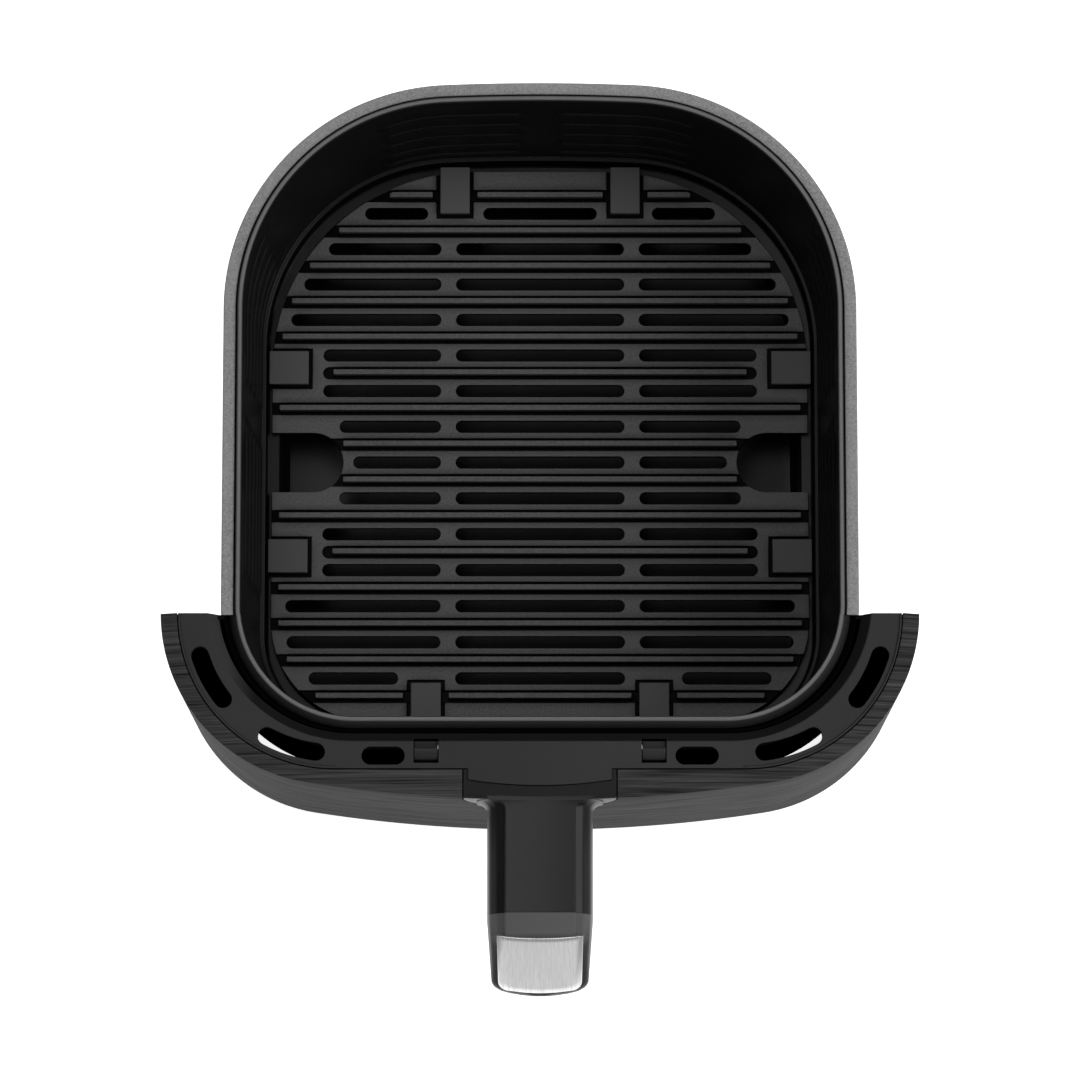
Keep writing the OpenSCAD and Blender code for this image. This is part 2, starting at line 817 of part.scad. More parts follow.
// Wedge along the sloping underside, t thick, g longer at each end and open below.
module cover_blank(w, t, g) {
    y0 = -158 + g;
    y1 = -195.8 - g;
    rotate([90, 0, 90])
        linear_extrude(2 * w, center = true)
            polygon([
                [y0, under_z(y0) - 3], [y0, under_z(y0) + t],
                [y1, under_z(y1) + t], [y1, under_z(y1) - 3]
            ]);
}

function under_z(y) = root_bottom + (y + 152) * under_slope;

// Cover that closes the handle from below, with bosses for the screws.
module handle_underside() {
    color([0.1, 0.1, 0.1])
        difference() {
            intersection() {
                rotate([90, 0, 90])
                    linear_extrude(80, center = true)
                        handle_side();
                union() {
                    cover_blank(12.1, 2.5, 0);
                    at_grip_screws()
                        translate([0, 0, -24]) cylinder(h = 24, r = 5.4, $fn = 48);
                }
            }
            at_grip_screws()
                translate([0, 0, -30]) cylinder(h = 31, r = screw_r + 0.1, $fn = 48);
            at_grip_screws()
                translate([0, 0, -30]) cylinder(h = 24, r = 3.8, $fn = 48);
        }
}

module handle_tip() {
    color([0.8, 0.8, 0.8])
        at_tip()
            translate([0, 0, -1.5])
                linear_extrude(1.6)
                    tip_plan(0.05);
}

module handle_screws() {
    color([0.7, 0.7, 0.7])
        translate([0, 0, -6]) at_grip_screws() screw(8.9);
}

pot();
outer_shell();
crisper_plate();
bumper_back_left();
bumper_back_right();
bumper_front_left();
bumper_front_right();
bumper_side_back_left();
bumper_side_back_right();
bumper_side_front_left();
bumper_side_front_right();
collar();
snap_tab_left();
snap_tab_right();
front_panel();
panel_backing();
pot_bracket();
bracket_screws();
handle();
handle_core();
core_screws();
handle_underside();
handle_tip();
handle_screws();
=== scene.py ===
"""Looks of the air fryer drawer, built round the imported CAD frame. Lengths are millimetres."""

import math

import bmesh
import bpy
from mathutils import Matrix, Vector


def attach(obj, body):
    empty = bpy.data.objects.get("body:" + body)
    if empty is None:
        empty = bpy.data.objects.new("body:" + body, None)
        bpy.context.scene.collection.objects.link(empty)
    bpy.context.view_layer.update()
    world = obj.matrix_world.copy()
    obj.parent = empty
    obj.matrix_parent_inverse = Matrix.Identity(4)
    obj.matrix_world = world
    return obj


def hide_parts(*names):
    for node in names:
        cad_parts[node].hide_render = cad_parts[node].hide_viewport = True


MM = 0.001
WELD = 0.002
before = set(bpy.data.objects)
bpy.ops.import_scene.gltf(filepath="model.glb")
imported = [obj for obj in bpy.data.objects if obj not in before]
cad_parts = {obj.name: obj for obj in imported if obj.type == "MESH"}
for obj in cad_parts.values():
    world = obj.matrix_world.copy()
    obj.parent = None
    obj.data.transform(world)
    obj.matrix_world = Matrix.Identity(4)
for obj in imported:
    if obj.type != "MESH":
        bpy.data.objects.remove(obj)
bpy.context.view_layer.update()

# Rim crest: half width, front and back reach, corner radii and centres, shallow bow at the back.
RIM_HALF_W = 114.3
RIM_FRONT = 120.6
RIM_BACK = 120.7
RIM_R_FRONT = 44.0
RIM_R_BACK = 81.3
BOW_R = 843.2
RIM_Z = 100.2
FRONT_CX = RIM_HALF_W - RIM_R_FRONT
FRONT_CY = RIM_R_FRONT - RIM_FRONT
BACK_CX = RIM_HALF_W - RIM_R_BACK
BOW_Y = RIM_BACK - BOW_R
BACK_CY = BOW_Y + math.sqrt((BOW_R - RIM_R_BACK) ** 2 - BACK_CX ** 2)
BOW_TURN = math.degrees(math.atan2(BACK_CX, BACK_CY - BOW_Y))

# Panel: half width, foremost point, corner radius, where its arms end, top and bottom.
ARM_END = 80.6
PANEL_R = 66.1
PANEL_CX = 143.9 - PANEL_R
PANEL_CY = -79.8
PANEL_FRONT = 151.9
PANEL_REACH = PANEL_CY + PANEL_FRONT
PANEL_BOW_R = (PANEL_CX ** 2 + PANEL_REACH ** 2 - PANEL_R ** 2) / (2 * (PANEL_REACH - PANEL_R))
PANEL_BOW_Y = PANEL_BOW_R - PANEL_FRONT
PANEL_BOW_TURN = math.degrees(math.atan2(PANEL_CX, PANEL_BOW_Y - PANEL_CY))
PANEL_TOP = 100.0
PANEL_BOTTOM = 4.0
PANEL_LEAN = 3.0

# Collar: top, the seam where the panel's rim meets it, and its outer corners.
COLLAR_Z = 102.0
SEAM_Z = COLLAR_Z - 0.1
COLLAR_R = 59.7
COLLAR_CX = 77.6
COLLAR_CY = COLLAR_R - 140.4

# Handle: half widths, end of the flat top, upper and lower ends of the slope, root.
HANDLE_HALF_W = 20.0
HANDLE_FLAT = 13.0
GRIP_END = 194.6
SLOPE_TOP_Y = -202.4
SLOPE_TOP_Z = 96.2
SLOPE = math.atan2(SLOPE_TOP_Z - 76.3, 219.8 + SLOPE_TOP_Y)
ROOT_HALF_W = 28.8
ROOT_R = 17.0
ROOT_BOTTOM = 80.0
ABOVE = 110


# ---------------------------------------------------------------- outlines and meshes

def arc(cx, cy, r, a0, a1, n):
    """Stations from a0 to a1 degrees: a point on the arc and its outward normal."""
    turns = [math.radians(a0 + (a1 - a0) * k / n) for k in range(n + 1)]
    return [((cx + r * math.cos(a), cy + r * math.sin(a)), (math.cos(a), math.sin(a)))
            for a in turns]


def stitched(arcs, step, closed):
    """Joins arcs into one path, with stations every step millimetres on the straights between."""
    path = []
    for i, part in enumerate(arcs):
        path += part
        if i == len(arcs) - 1 and not closed:
            break
        (p, n), (q, _) = part[-1], arcs[(i + 1) % len(arcs)][0]
        gap = math.dist(p, q)
        if gap < 0.01:
            path.pop()
            continue
        count = max(1, round(gap / step))
        for k in range(1, count):
            t = k / count
            path.append(((p[0] + (q[0] - p[0]) * t, p[1] + (q[1] - p[1]) * t), n))
    return path


def fillet(points, steps=5):
    """Outline of (u, v, radius) turned into plain points, each corner as an arc of its radius."""
    out = []
    last = len(points) - 1
    for i, (u, v, radius) in enumerate(points):
        p = Vector((u, v))
        if i in (0, last) or radius == 0:
            out.append((u, v))
            continue
        a = Vector(points[i - 1][:2]) - p
        b = Vector(points[i + 1][:2]) - p
        room = 0.49 * min(a.length, b.length)
        a.normalize()
        b.normalize()
        half = a.angle(b) / 2
        cut = min(radius / math.tan(half), room)
        radius = cut * math.tan(half)
        centre = p + (a + b).normalized() * (radius / math.sin(half))
        s = p + a * cut - centre
        e = p + b * cut - centre
        turn = s.angle(e)
        for k in range(steps + 1):
            t = k / steps
            w = (s * math.sin((1 - t) * turn) + e * math.sin(t * turn)) / math.sin(turn)
            out.append(tuple(centre + w))
    return out


def smooth(t):
    t = min(1.0, max(0.0, t))
    return t * t * (3 - 2 * t)


def mix(a, b, t):
    return a + (b - a) * t


def mesh_from(name, verts, faces, weld):
    """Mesh from millimetre vertices, normals outward; weld merges vertices that coincide."""
    mesh = bpy.data.meshes.new(name)
    mesh.from_pydata([(x * MM, y * MM, z * MM) for x, y, z in verts], [], faces)
    bm = bmesh.new()
    bm.from_mesh(mesh)
    if weld:
        bmesh.ops.remove_doubles(bm, verts=bm.verts, dist=WELD * MM)
    bmesh.ops.recalc_face_normals(bm, faces=bm.faces)
    bm.to_mesh(mesh)
    bm.free()
    return mesh


def linked(name, data):
    obj = bpy.data.objects.new(name, data)
    bpy.context.scene.collection.objects.link(obj)
    return obj


def shaded(mesh, sharp):
    """Smooth shading, with edges steeper than sharp degrees left crisp."""
    mesh.shade_smooth()
    mesh.set_sharp_from_angle(angle=math.radians(sharp))


def finished(name, mesh, material, body, nodes, sharp):
    """Object for a mesh, riding on a body in place of CAD nodes."""
    shaded(mesh, sharp)
    mesh.materials.clear()
    mesh.materials.append(material)
    obj = linked(name, mesh)
    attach(obj, body)
    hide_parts(*nodes)
    return obj


def piece(name, verts, faces, material, body, nodes, slot, sharp):
    mesh = mesh_from(name, verts, faces, True)
    return finished(name, mesh, material, body, nodes, sharp)


def lofted(rings, closed, caps=True, wrap=False):
    """Vertices and faces of a skin over rings of equal length; wrap joins the last to the first."""
    n = len(rings[0])
    verts = [p for ring in rings for p in ring]
    faces = []
    pairs = [(k, k + 1) for k in range(len(rings) - 1)]
    if wrap:
        pairs.append((len(rings) - 1, 0))
    for low, high in pairs:
        for i in range(n if closed else n - 1):
            j = (i + 1) % n
            faces.append((low * n + i, low * n + j, high * n + j, high * n + i))
    if caps:
        faces.append(tuple(reversed(range(n))))
        faces.append(tuple(range((len(rings) - 1) * n, len(rings) * n)))
    return verts, faces


def upright(outline, z0, z1):
    """Prism over an outline of x and y."""
    return lofted([[(x, y, z) for x, y in outline] for z in (z0, z1)], True)


def level(outline, y0, y1):
    """Prism from an outline of x and z, lying along y."""
    return lofted([[(x, y, z) for x, z in outline] for y in (y0, y1)], True)


def around(path, profiles):
    """Rings that follow a path, one for each row of its profiles; profiles(i) gives (out, z)."""
    rows = [profiles(i) for i in range(len(path))]
    return [
        [(p[0] + rows[i][k][0] * n[0], p[1] + rows[i][k][0] * n[1], rows[i][k][1])
         for i, (p, n) in enumerate(path)]
        for k in range(len(rows[0]))
    ]


def blended(a, b, t):
    return [(mix(u0, u1, t), mix(v0, v1, t)) for (u0, v0), (u1, v1) in zip(a, b)]


# The front arcs have stations close together where the panel's arms begin.
RIM = stitched([
    arc(BACK_CX, BACK_CY, RIM_R_BACK, 0, 90 - BOW_TURN, 60),
    arc(0, BOW_Y, BOW_R, 90 - BOW_TURN, 90 + BOW_TURN, 48),
    arc(-BACK_CX, BACK_CY, RIM_R_BACK, 90 + BOW_TURN, 180, 60),
    arc(-FRONT_CX, FRONT_CY, RIM_R_FRONT, 180, 185.2, 3),
    arc(-FRONT_CX, FRONT_CY, RIM_R_FRONT, 185.2, 185.7, 1),
    arc(-FRONT_CX, FRONT_CY, RIM_R_FRONT, 185.7, 270, 34),
    arc(FRONT_CX, FRONT_CY, RIM_R_FRONT, 270, 354.3, 34),
    arc(FRONT_CX, FRONT_CY, RIM_R_FRONT, 354.3, 354.8, 1),
    arc(FRONT_CX, FRONT_CY, RIM_R_FRONT, 354.8, 360, 3),
], 2.0, True)

FRONT_SPAN = 80


def panel_path(grow):
    turn = PANEL_BOW_TURN
    return stitched([
        arc(PANEL_CX, PANEL_CY, PANEL_R + grow, -0.7, -90 + turn, 48),
        arc(0, PANEL_BOW_Y, PANEL_BOW_R + grow, -90 + turn, -90 - turn, FRONT_SPAN),
        arc(-PANEL_CX, PANEL_CY, PANEL_R + grow, -90 - turn, -179.3, 48),
    ], 2.0, False)


def collar_path():
    """The collar's outer edge, with as many stations as the panel's path."""
    front = [((COLLAR_CX - 2 * COLLAR_CX * k / FRONT_SPAN, COLLAR_CY - COLLAR_R), (0, -1))
             for k in range(1, FRONT_SPAN)]
    return (arc(COLLAR_CX, COLLAR_CY, COLLAR_R, 0.1, -90, 48) + front
            + arc(-COLLAR_CX, COLLAR_CY, COLLAR_R, -90, -180.1, 48))


# ---------------------------------------------------------------- materials

BASE = "base"
# Colour of the painted shade in grooves, gaps and corners.
CREVICE_SHADE = 0.0015
COATING_BUMP = 0.03


class Shader:
    """Small helper that adds nodes to a material and links them."""

    def __init__(self, name):
        self.material = bpy.data.materials.new(name)
        self.material.use_nodes = True
        self.tree = self.material.node_tree
        self.out = self.tree.nodes["Principled BSDF"]
        self.place = self.tree.nodes.new("ShaderNodeTexCoord").outputs["Object"]

    def add(self, kind, settings=None, **inputs):
        """New node. An input is given by its name, or as i0, i1 and so on by its place."""
        node = self.tree.nodes.new(kind)
        for key, value in (settings or {}).items():
            setattr(node, key, value)
        for key, value in inputs.items():
            by_place = key[0] == "i" and key[1:].isdigit()
            socket = node.inputs[int(key[1:]) if by_place else key]
            if isinstance(value, bpy.types.NodeSocket):
                self.tree.links.new(value, socket)
            else:
                socket.default_value = value
        return node

    def scaled(self, sx, sy, sz):
        return self.add("ShaderNodeMapping", i0=self.place, i3=(sx, sy, sz)).outputs[0]

    def noise(self, scale, detail, rough, where=None):
        return self.add("ShaderNodeTexNoise", Vector=where or self.place, Scale=scale,
                        Detail=detail, Roughness=rough).outputs["Fac"]

    def ramp(self, value, low, high, out_low, out_high):
        """value from low..high carried to out_low..out_high, clamped."""
        return self.add("ShaderNodeMapRange", i0=value, i1=low, i2=high, i3=out_low,
                        i4=out_high).outputs[0]

    def blend(self, fac, a, b):
        node = self.add("ShaderNodeMix", {"data_type": "RGBA"})
        self.tree.links.new(fac, node.inputs[0])
        for index, value in ((6, a), (7, b)):
            if isinstance(value, bpy.types.NodeSocket):
                self.tree.links.new(value, node.inputs[index])
            else:
                node.inputs[index].default_value = (*value, 1)
        return node.outputs[2]

    def cavity_shade(self, colour, reach, power):
        """Painted shade: colour darkened by occlusion in grooves, gaps and corners narrower than
        reach millimetres.
        """
        near = self.add("ShaderNodeAmbientOcclusion", {"samples": 6}, Distance=reach * MM)
        shade = self.add("ShaderNodeMath", {"operation": "POWER"}, i0=near.outputs["AO"], i1=power)
        return self.blend(shade.outputs[0], grey(CREVICE_SHADE), colour)

    def with_painted_light(self, base, painted_light_layers):
        """Colour that changes with place: painted light and shade, lighter or darker along one axis
        at a time.

        Each layer is an axis, a start and an end in millimetres, and what lies below and above
        them: a grey, None for the colour so far or BASE for the first colour.
        """
        colour = base
        where = self.add("ShaderNodeSeparateXYZ", i0=self.place).outputs
        for axis, low, high, below, above in painted_light_layers:
            pair = [colour if v is None else base if v == BASE else grey(v)
                    for v in (below, above)]
            colour = self.blend(self.ramp(where[axis], low * MM, high * MM, 0, 1), *pair)
        return colour

    def set(self, **inputs):
        for key, value in inputs.items():
            socket = self.out.inputs[key.replace("_", " ")]
            if isinstance(value, bpy.types.NodeSocket):
                self.tree.links.new(value, socket)
            else:
                socket.default_value = value

    def bump(self, height, strength, distance):
        node = self.add("ShaderNodeBump", Height=height, Strength=strength, Distance=distance * MM)
        self.tree.links.new(node.outputs[0], self.out.inputs["Normal"])


def grey(v):
    return (v, v, v)


def speckled(name, dark, light, grain, rough, specular, painted_light_layers, reach=5):
    """Coating with a fine speckle, uneven gloss and a slight orange peel."""
    s = Shader(name)
    fine = s.noise(1000 / grain, 3, 0.7)
    broad = s.noise(18, 3, 0.55)
    colour = s.blend(s.ramp(fine, 0.36, 0.66, 0, 1), grey(dark), grey(light))
    worn = s.blend(s.ramp(broad, 0.35, 0.7, 0, 0.35), colour, grey((dark + light) * 0.62))
    # Base colour: painted shade in crevices, then the painted light and shade of the layers.
    s.set(Base_Color=s.with_painted_light(s.cavity_shade(worn, reach, 1.6), painted_light_layers),
          Roughness=s.ramp(broad, 0.3, 0.7, rough - 0.05, rough + 0.06),
          Specular_IOR_Level=specular)
    s.bump(fine, 0.5, COATING_BUMP)
    return s.material


def moulded(name, dark, light, rough, specular, painted_light_layers=()):
    """Moulded plastic: very fine spark-eroded grain, faint sheen changes and handling marks."""
    s = Shader(name)
    fine = s.noise(2600, 2, 0.6)
    marks = s.noise(9, 4, 0.6)
    colour = s.blend(s.ramp(marks, 0.3, 0.7, 0, 1), grey(dark), grey(light))
    # Base colour: painted shade in crevices, then the painted light and shade of the layers.
    s.set(Base_Color=s.with_painted_light(s.cavity_shade(colour, 4, 1.2), painted_light_layers),
          Roughness=s.ramp(marks, 0.3, 0.7, rough - 0.04, rough + 0.05),
          Specular_IOR_Level=specular)
    s.bump(fine, 0.35, 0.02)
    return s.material


def streaks(s, stretch):
    """Hair lines along the axis that is stretched least."""
    lines = s.noise(1, 4, 0.65, s.scaled(*stretch))
    hair = s.noise(1, 2, 0.5, s.scaled(*[3.1 * v for v in stretch]))
    both = s.add("ShaderNodeMath", {"operation": "ADD"}, i0=lines, i1=hair).outputs[0]
    return s.add("ShaderNodeMath", {"operation": "MULTIPLY"}, i0=both, i1=0.5).outputs[0]


def brushed(name, dark, light, rough, stretch, metallic=1.0, contrast=(0.3, 0.7), specular=0.5,
            lower=None):
    """Brushed surface. lower is a z in millimetres and the stretch used below it."""
    s = Shader(name)
    half = streaks(s, stretch)
    if lower:
        z = s.add("ShaderNodeSeparateXYZ", i0=s.place).outputs[2]
        top = s.ramp(z, (lower[0] - 0.2) * MM, (lower[0] + 0.2) * MM, 0, 1)
        half = s.add("ShaderNodeMix", i0=top, i2=streaks(s, lower[1]), i3=half).outputs[0]
    s.set(Base_Color=s.blend(s.ramp(half, *contrast, 0, 1), grey(dark), grey(light)),
          Metallic=metallic,
          Roughness=s.ramp(half, *contrast, rough + 0.08, rough - 0.06),
          Specular_IOR_Level=specular)
    s.bump(half, 0.4, COATING_BUMP)
    return s.material


# Painted shade: near black below the wall's step, on the ledge and in the well under the plate.
# Painted highlight: lighter at the lip's top and bright along its crest.
POT_COATING = speckled(
    "pot_nonstick", 0.003, 0.009, 0.9, 0.40, specular=0.11,
    painted_light_layers=((2, 30.9, 31.3, 0.0010, None), (2, 98.4, 99.8, None, 0.016),
            (2, 99.85, 100.15, None, 0.13)))
# Painted shade: near black in front of the panel's arm ends, where the shell lies inside the panel
# and shows only through vents and gaps.
SHELL_PAINT = speckled(
    "shell_paint", 0.165, 0.30, 0.7, 0.50, specular=0.0,
    painted_light_layers=((1, -80.9, -80.7, 0.0015, None),))
# Painted shade: near black below the plate's top face, in the grooves by the ribs, the pockets
# under the pads and on its edges.
PLATE_COATING = speckled(
    "plate_nonstick", 0.050, 0.082, 0.8, 0.45, specular=0.02,
    painted_light_layers=((2, 27.5, 27.9, 0.0006, None),), reach=4.5)
SILICONE = moulded("pad_silicone", 0.046, 0.058, 0.62, specular=0.15)
PLASTIC = moulded("black_plastic", 0.017, 0.023, 0.45, specular=0.12)
# Painted highlight: the sloped end past the grip's flat, round the metal plate, is lighter above a
# height of about 90; lower down it keeps the base colour.
HANDLE_PLASTIC = moulded(
    "handle_plastic", 0.007, 0.011, 0.36, specular=0.15,
    painted_light_layers=((1, -194.8, -194.6, 0.08, None), (2, 88, 94, BASE, None)))
# Painted shade: the facets below the collar's top are darker, save on the left arm, which keeps the
# lighter colour as if lit from the right; near black below a height of 95, in the gap by the pot.
COLLAR_PLASTIC = moulded(
    "collar_plastic", 0.032, 0.040, 0.45, specular=0.0,
    painted_light_layers=((2, 101.5, 101.75, 0.011, None), (0, -118, -108, BASE, None),
            (2, 95.0, 96.0, 0.0006, None)))
DARK_PLASTIC = moulded("backing_plastic", 0.004, 0.006, 0.7, specular=0.0)
BLACK_BRUSHED = brushed(
    "brushed_black", 0.010, 0.060, 0.5, (10, 520, 10), metallic=0.0, contrast=(0.36, 0.62),
    specular=0.010, lower=(99.4, (14, 14, 700)))
STEEL = brushed("bracket_steel", 0.45, 0.62, 0.34, (120, 900, 900))
SCREW_STEEL = brushed("screw_steel", 0.42, 0.6, 0.3, (900, 900, 160))
TIP_STEEL = brushed("tip_steel", 0.62, 0.9, 0.34, (1500, 70, 70))


# ---------------------------------------------------------------- pot and shell

BAND_Z = (36.0, 46.0, 58.0, 70.5, 83.0)
BAND_HALF = 1.9
BAND_RAISE = 0.85
BAND_EASE = 3
BAND_START = 5
BACK_BAND_END = 63
SIDE_BAND_MID = 5
SIDE_BAND_END = 69

# The wall's inside, as offset from the rim and height, at its foot and its head.
FOOT_OUT, FOOT_Z = -5.3, 31
HEAD_OUT, HEAD_Z = -0.75, 99.5
LIP_FOOT_Z = 94


def band_mask(p):
    """1 where the wall carries its raised bands: two groups on each of the back and side walls."""
    x, y = p
    if y > 60 and abs(x) < 75:
        along, end = abs(x), BACK_BAND_END
    elif abs(x) > 80 and y > -75:
        along, end = abs(y - SIDE_BAND_MID), SIDE_BAND_END
    else:
        return 0
    return smooth((along - BAND_START) / BAND_EASE) * smooth((end - along) / BAND_EASE)


def front_share(p):
    """0 behind the panel's arms, 1 from where they begin."""
    return smooth((-p[1] - ARM_END) / 0.35)


def wall_rows():
    """Heights up the wall, each with the share of the bands' raise that it has."""
    rows = []
    for z in BAND_Z:
        for dz, share in ((-1.0, 0), (-0.75, 0.75), (-0.4, 1), (0.4, 1), (0.75, 0.75), (1.0, 0)):
            rows.append((z + dz * BAND_HALF, share))
    return rows


def wall_out(z):
    return mix(FOOT_OUT, HEAD_OUT, (z - FOOT_Z) / (HEAD_Z - FOOT_Z))


def pot():
    """Coated pot with a lip that rolls further over in front, where the collar meets it."""
    inner = fillet([(-18.4, 2.6, 0), (-13.4, 2.6, 5), (-12.3, 24.3, 0.8), (-7.2, 24.3, 1.4),
                    (-7.2, 31.2, 0.7), (FOOT_OUT, 31.6, 0.6), (wall_out(34), 34, 0)])[:-1]
    rows = wall_rows()
    outer = [(1.2, 97.3, 0), (0.3, 97.2, 0), (-4.3, 30, 1.5), (-6.2, 29.5, 1), (-6.2, 23.4, 1.5),
             (-11.3, 23.3, 1), (-12.4, 6, 4), (-16.5, 1.6, 0)]
    start = (wall_out(LIP_FOOT_Z), LIP_FOOT_Z, 0)
    lip = fillet([start, (HEAD_OUT, RIM_Z, 1.2), (1.6, RIM_Z, 1.1), (1.6, 97.3, 0.2)] + outer)
    rolled = fillet([start, (HEAD_OUT, RIM_Z, 1.4), (0.9, 100.1, 1.2), (3.8, 98.0, 1.4),
                     (3.6, 97.2, 0)] + outer[1:])

    def profile(i):
        p = RIM[i][0]
        mask = band_mask(p)
        wall = [(wall_out(z) - BAND_RAISE * share * mask, z) for z, share in rows]
        return inner + wall + blended(lip, rolled, front_share(p))

    verts, faces = lofted(around(RIM, profile), True)
    return piece("pot_body", verts, faces, POT_COATING, "drawer", ["pot"], "pot_coating", 40)


def shell():
    """Shell with a flange that is narrower behind the panel's arms than within them."""
    low = [(-7, 0, 0), (-2.6, 0.6, 3), (-1.4, 6, 4), (4.8, 95, 0.8)]
    inside = [(3.8, 94.6, 0.8), (-2.4, 6.9, 3), (-8, 1, 0)]
    flange = fillet(low + [(4.8, 97.5, 0.6), (6.8, 97.7, 0.5), (6.8, 99, 0.9), (2.0, 99, 0.5),
                           (2.0, 97.4, 0.3), (3.8, 97.0, 0.3)] + inside)

    def profile(i):
        p, n = RIM[i]
        edge = 5.1 + abs(n[0]) ** 0.7
        behind = fillet(low + [(4.8, 96.2, 0.6), (edge, 96.8, 0.3), (edge, 98.2, 0.5),
                               (edge - 1.0, 98.2, 0.4), (edge - 1.0, 97.0, 0.3), (3.8, 96.6, 0.3)]
                        + inside)
        return blended(flange, behind, front_share(p))

    verts, faces = lofted(around(RIM, profile), True)
    return piece("shell_body", verts, faces, SHELL_PAINT, "drawer", ["outer_shell"],
                 "shell_paint", 40)


# ---------------------------------------------------------------- softened CAD shapes

def softened(name, node, material, body, width):
    """A finer copy of a CAD node: coplanar facets merged, hard edges rounded."""
    hard_angle = math.radians(30)
    bm = bmesh.new()
    bm.from_mesh(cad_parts[node].data)
    bmesh.ops.remove_doubles(bm, verts=bm.verts, dist=WELD * MM)
    bmesh.ops.dissolve_limit(bm, angle_limit=math.radians(0.4), verts=bm.verts, edges=bm.edges)
    hard = [e for e in bm.edges if e.is_manifold and e.calc_face_angle() > hard_angle]
    bmesh.ops.bevel(bm, geom=hard, offset=width * MM, offset_type="OFFSET", segments=3,
                    profile=0.5, affect="EDGES", clamp_overlap=False)
    mesh = bpy.data.meshes.new(name)
    bm.to_mesh(mesh)
    bm.free()
    obj = finished(name, mesh, material, body, [node], 60)
    normals = obj.modifiers.new("even_shading", "WEIGHTED_NORMAL")
    normals.keep_sharp = True
    normals.weight = 80
    return obj


def backing():
    """The CAD backing with two things it lacks: a web at each arm's end and a lip on each shelf.

    They are dark blocks for painted shade: they only close gaps through which the floor
    shows. Both run into the shell, and the web into the collar.
    """
    bm = bmesh.new()
    bm.from_mesh(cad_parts["panel_backing"].data)
    # Dark blocks standing in for shade, where gaps would show the floor.
    web = (119.7, 122.9), (-ARM_END - 1.8, -ARM_END - 0.2), (90.6, 98.6)
    shelf_lip = (104.5, 111), (-111, -94.5), (6, 8)
    for sx in (-1, 1):
        for (x0, x1), (y0, y1), heights in (web, shelf_lip):
            foot = [(sx * x0, y0), (sx * x1, y0), (sx * x1, y1), (sx * x0, y1)]
            verts, faces = upright(foot, *heights)
            made = [bm.verts.new(Vector(v) * MM) for v in verts]
            for face in faces:
                bm.faces.new([made[k] for k in face])
    bmesh.ops.recalc_face_normals(bm, faces=bm.faces)
    mesh = bpy.data.meshes.new("backing_body")
    bm.to_mesh(mesh)
    bm.free()
    return finished("backing_body", mesh, DARK_PLASTIC, "drawer", ["panel_backing"],
                    30)


# ---------------------------------------------------------------- panel and handle

def shaped(obj, other, operation):
    """Applies a boolean with another object, which isn't kept."""
    tool = obj.modifiers.new("shape", "BOOLEAN")
    tool.object = other
    tool.operation = operation
    tool.solver = "EXACT"
    bpy.context.view_layer.update()
    graph = bpy.context.evaluated_depsgraph_get()
    mesh = bpy.data.meshes.new_from_object(obj.evaluated_get(graph))
    obj.modifiers.remove(tool)
    old = obj.data
    obj.data = mesh
    bpy.data.meshes.remove(old)
    bpy.data.objects.remove(other)


def loose(name, solid):
    """A closed solid that only shapes another and isn't kept."""
    return linked(name, mesh_from(name, *solid, False))


def lean(z):
    """How far the panel's face has moved out at height z: 0 at its top, less below."""
    return -PANEL_LEAN * (PANEL_TOP - z) / (PANEL_TOP - PANEL_BOTTOM)


def moved_out(path, out, z):
    return [(p[0] + out * n[0], p[1] + out * n[1], z) for p, n in path]


def root_outline(gap):
    """Front view of the handle's root, x and z, grown by gap, open above the collar."""
    w = ROOT_HALF_W + gap
    points = [(w, ABOVE)]
    for k in range(13):
        a = math.radians(-90 * k / 12)
        points.append((w - ROOT_R - gap + (ROOT_R + gap) * math.cos(a),
                       ROOT_BOTTOM + ROOT_R + (ROOT_R + gap) * math.sin(a)))
    return points + [(-x, z) for x, z in reversed(points)]


def front_panel():
    """Brushed skin: a nearly flat top rim that folds over the crease into the leaning face."""
    outer, seam = panel_path(0), collar_path()
    skin = 0.8
    rings = []

    def along(share, out, z):
        """Ring part of the way from the seam (0) to the crease (1), moved out by out."""
        rings.append([
            (mix(s[0], p[0], share) + out * n[0], mix(s[1], p[1], share) + out * n[1], z)
            for (p, n), (s, _) in zip(outer, seam)
        ])

    along(0, 0.15, COLLAR_Z - 1.2)
    along(0, 0.15, COLLAR_Z - 0.35)
    along(0, 0.3, SEAM_Z)
    along(0.06, 0.2, SEAM_Z)
    along(0.5, 0, mix(SEAM_Z, PANEL_TOP, 0.5))
    for u, v in fillet([(-1.6, PANEL_TOP + 0.3, 0), (0, PANEL_TOP, 0.7), (-0.5, 84, 0)], 6):
        along(1, u, v)
    for z in (70, 52, 36, 20, 8):
        along(1, lean(z), z)
    for u, v in fillet([(-2.8, 6.5, 0), (-3.0, 4.0, 0.35), (-3.8, 4.0, 0.35), (-3.7, 7, 0)], 3)[1:]:
        along(1, u, v)
    for z in (30, 60, 84, 98.2):
        along(1, -skin + lean(z), z)
    along(0.5, 0, 99.9)
    verts, faces = lofted(rings, False, caps=False, wrap=True)
    n = len(outer)
    faces.append(tuple(k * n for k in range(len(rings))))
    faces.append(tuple(k * n + n - 1 for k in reversed(range(len(rings)))))
    obj = piece("fascia", verts, faces, BLACK_BRUSHED, "drawer", ["front_panel"],
                "brushed_black", 35)
    shaped(obj, loose("root_cutter", level(root_outline(0.55), -135, -175)), "DIFFERENCE")
    shaded(obj.data, 35)
    return obj


